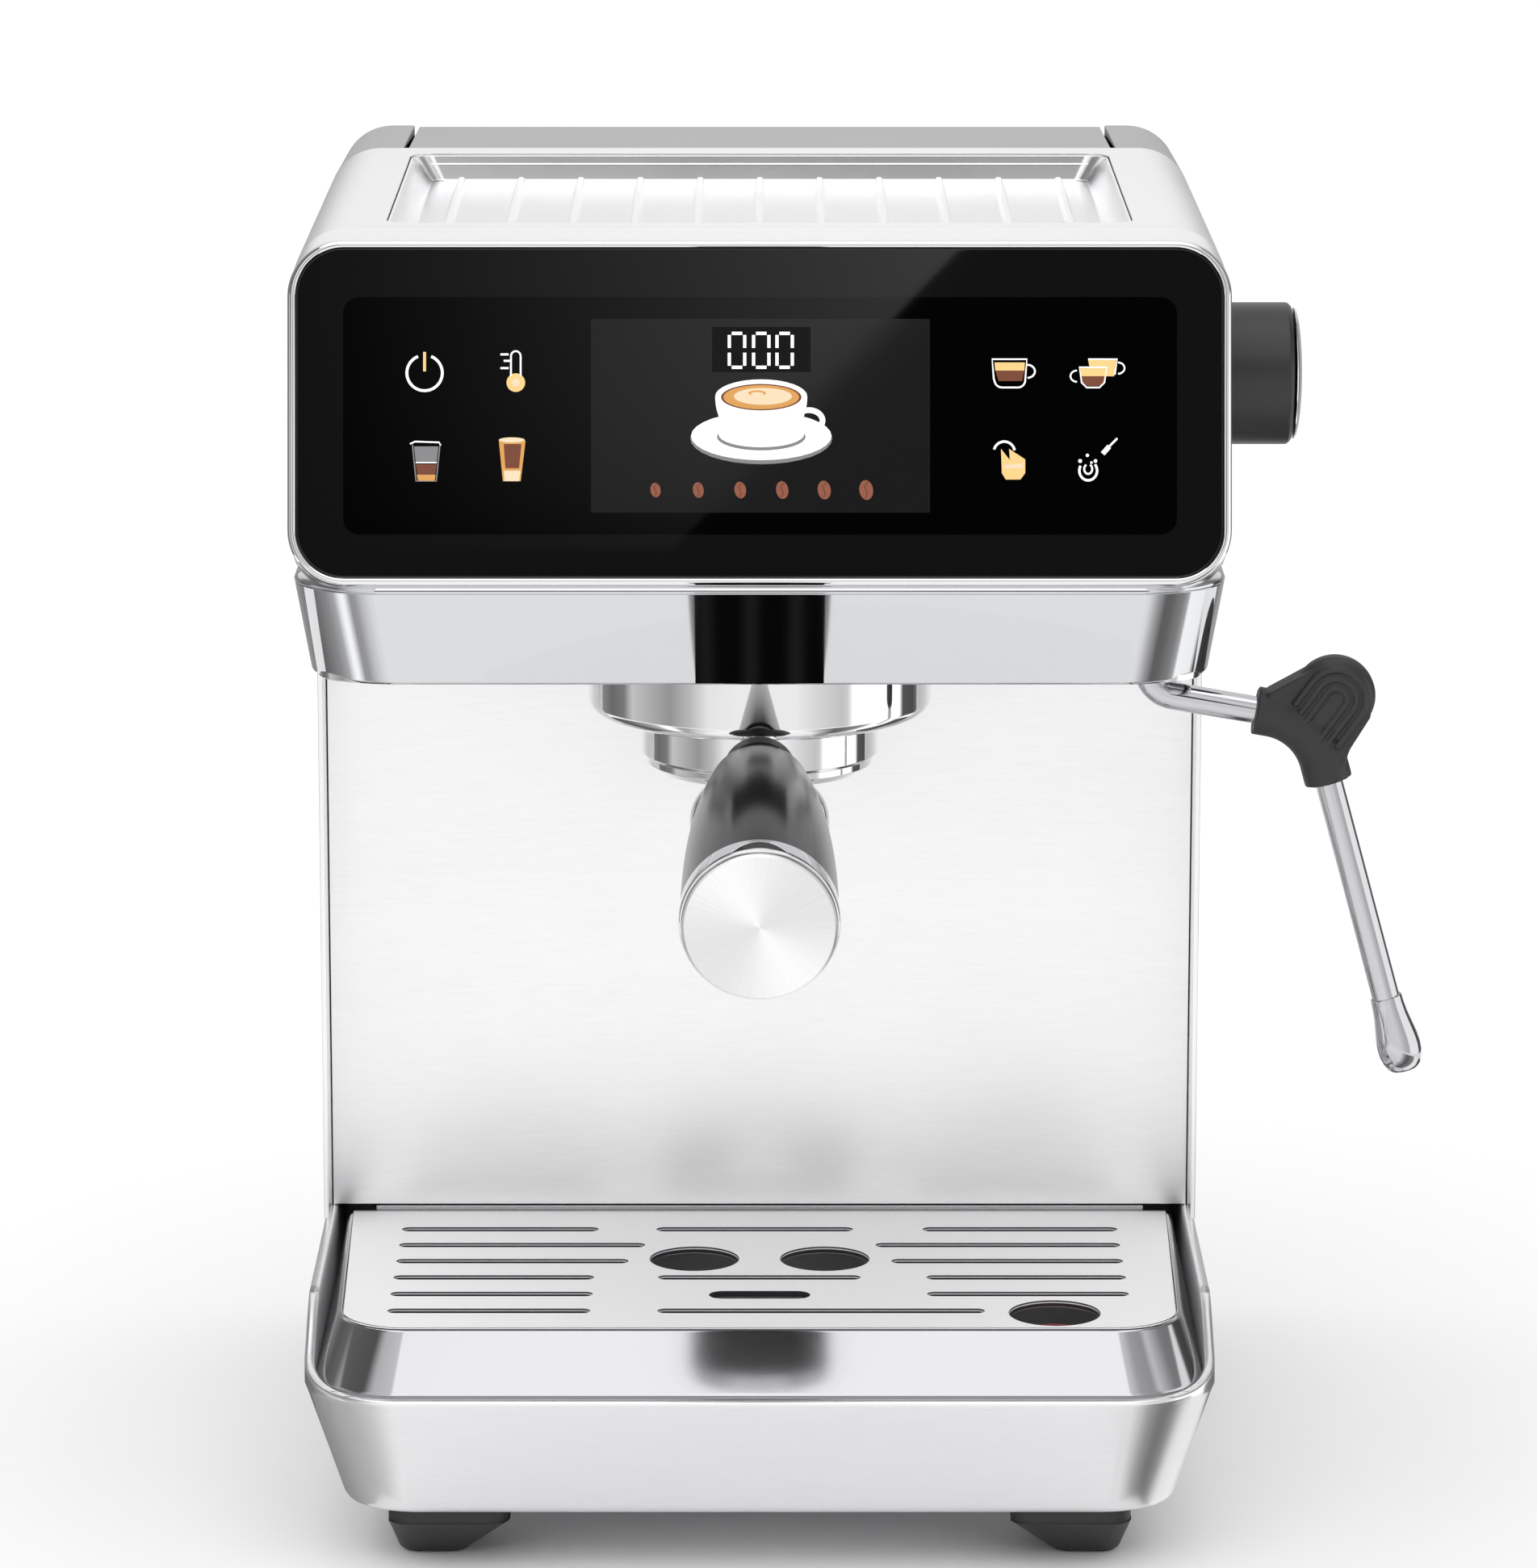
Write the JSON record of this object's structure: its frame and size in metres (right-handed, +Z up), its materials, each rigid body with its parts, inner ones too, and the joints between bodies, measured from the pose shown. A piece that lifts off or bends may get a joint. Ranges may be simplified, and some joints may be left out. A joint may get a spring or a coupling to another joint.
{
  "type": "espresso machine",
  "caption": "Pump espresso machine with a touch glass front, bayonet portafilter, swivelling steam wand, lift-out drip tray, rear water tank and a cup shelf on top.",
  "frame": {"origin": "middle of the whole machine's footprint, on the surface it stands on", "axes": "+X to the user's right, towards the steam wand, +Y to the back, +Z up"},
  "size_m": [0.3262, 0.4026, 0.391],
  "materials": {
    "brushed_steel": "brushed",
    "polished_steel": "polished",
    "grey_plastic": "satin",
    "galvanised_sheet": "satin",
    "black_plastic": "satin",
    "handle_black": "gloss",
    "rubber": "matt",
    "black_glass": "gloss",
    "screen": "gloss",
    "circuit_board": "satin",
    "brass": "satin",
    "cast_aluminium": "cast",
    "coil_black": "satin",
    "clear_tank": "clear",
    "silicone": "matt",
    "float_red": "satin"
  },
  "bodies": {
    "root": {"base_shell": "brushed_steel", "feet": "rubber", "base_screws": "polished_steel", "body_casing": "brushed_steel", "splash_panel": "brushed_steel", "rear_panel": "galvanised_sheet", "cord_gland": "rubber", "chassis": "galvanised_sheet", "head_base": "polished_steel", "chin_fascia": "polished_steel", "front_frame": "brushed_steel", "bezel": "polished_steel", "front_glass": "black_glass", "display_module": "screen", "touch_board": "circuit_board", "cup_shelf": "brushed_steel", "rear_cap_left": "grey_plastic", "rear_cap_right": "grey_plastic", "group_casting": "brass", "bayonet_collar": "polished_steel", "group_gasket": "rubber", "shower_screen": "polished_steel", "screen_screw": "polished_steel", "thermoblock": "cast_aluminium", "thermostats": "black_plastic", "steam_valve": "brass", "solenoid_valve": "coil_black", "pump": "coil_black", "pump_mounts": "rubber", "flow_meter": "grey_plastic", "control_board": "circuit_board", "tank_shelf": "black_plastic", "suction_hose": "silicone", "pressure_hose": "silicone", "brew_tube": "polished_steel", "steam_tube": "polished_steel", "wand_socket": "polished_steel"},
    "wand_swivel": {"wand_swivel": "polished_steel"},
    "steam_wand": {"wand_ball": "polished_steel", "wand_tube": "polished_steel", "wand_grip": "rubber", "wand_tip": "polished_steel"},
    "steam_control": {"steam_knob": "black_plastic", "knob_cap": "polished_steel", "valve_stem": "brass"},
    "drip_tray": {"drip_tray": "black_plastic", "tray_rim": "polished_steel"},
    "drip_grid": {"drip_grid": "brushed_steel"},
    "tray_float": {"tray_float": "float_red"},
    "water_tank": {"water_tank": "clear_tank", "tank_valve": "black_plastic"},
    "tank_lid": {"tank_lid": "grey_plastic"},
    "portafilter": {"portafilter_bowl": "polished_steel", "filter_basket": "brushed_steel", "basket_spring": "polished_steel", "twin_spout": "polished_steel", "handle_ferrule": "black_plastic", "handle_grip": "handle_black", "handle_ring": "polished_steel", "handle_end": "brushed_steel"}
  },
  "joints": [
    {"name": "portafilter_turn", "type": "hinge", "parent": "root", "child": "portafilter", "pos_m": [-0.03053, -0.02657, 0.258], "axis": [0, 0, 1], "range_deg": [-50, 0]},
    {"name": "wand_turn", "type": "hinge", "parent": "root", "child": "wand_swivel", "pos_m": [0.08147, -0.04257, 0.268], "axis": [0, 0, 1], "range_deg": [-45, 35]},
    {"name": "wand_tilt", "type": "hinge", "parent": "wand_swivel", "child": "steam_wand", "pos_m": [0.08147, -0.04257, 0.268], "axis": [0, -1, 0], "range_deg": [0, 20]},
    {"name": "knob_turn", "type": "hinge", "parent": "root", "child": "steam_control", "pos_m": [0.10197, -0.02657, 0.344], "axis": [1, 0, 0], "range_deg": [0, 180]},
    {"name": "tray_lift", "type": "slide", "parent": "root", "child": "drip_tray", "axis": [0, 0, 1], "range_m": [0, 0.045]},
    {"name": "grid_lift", "type": "slide", "parent": "drip_tray", "child": "drip_grid", "axis": [0, 0, 1], "range_m": [0, 0.05]},
    {"name": "float_rise", "type": "slide", "parent": "drip_tray", "child": "tray_float", "axis": [0, 0, 1], "range_m": [0, 0.008]},
    {"name": "tank_lift", "type": "slide", "parent": "root", "child": "water_tank", "axis": [0, 0, 1], "range_m": [0, 0.2]},
    {"name": "lid_open", "type": "hinge", "parent": "water_tank", "child": "tank_lid", "pos_m": [-0.03053, 0.19193, 0.3823], "axis": [-1, 0, 0], "range_deg": [0, 85]}
  ]
}
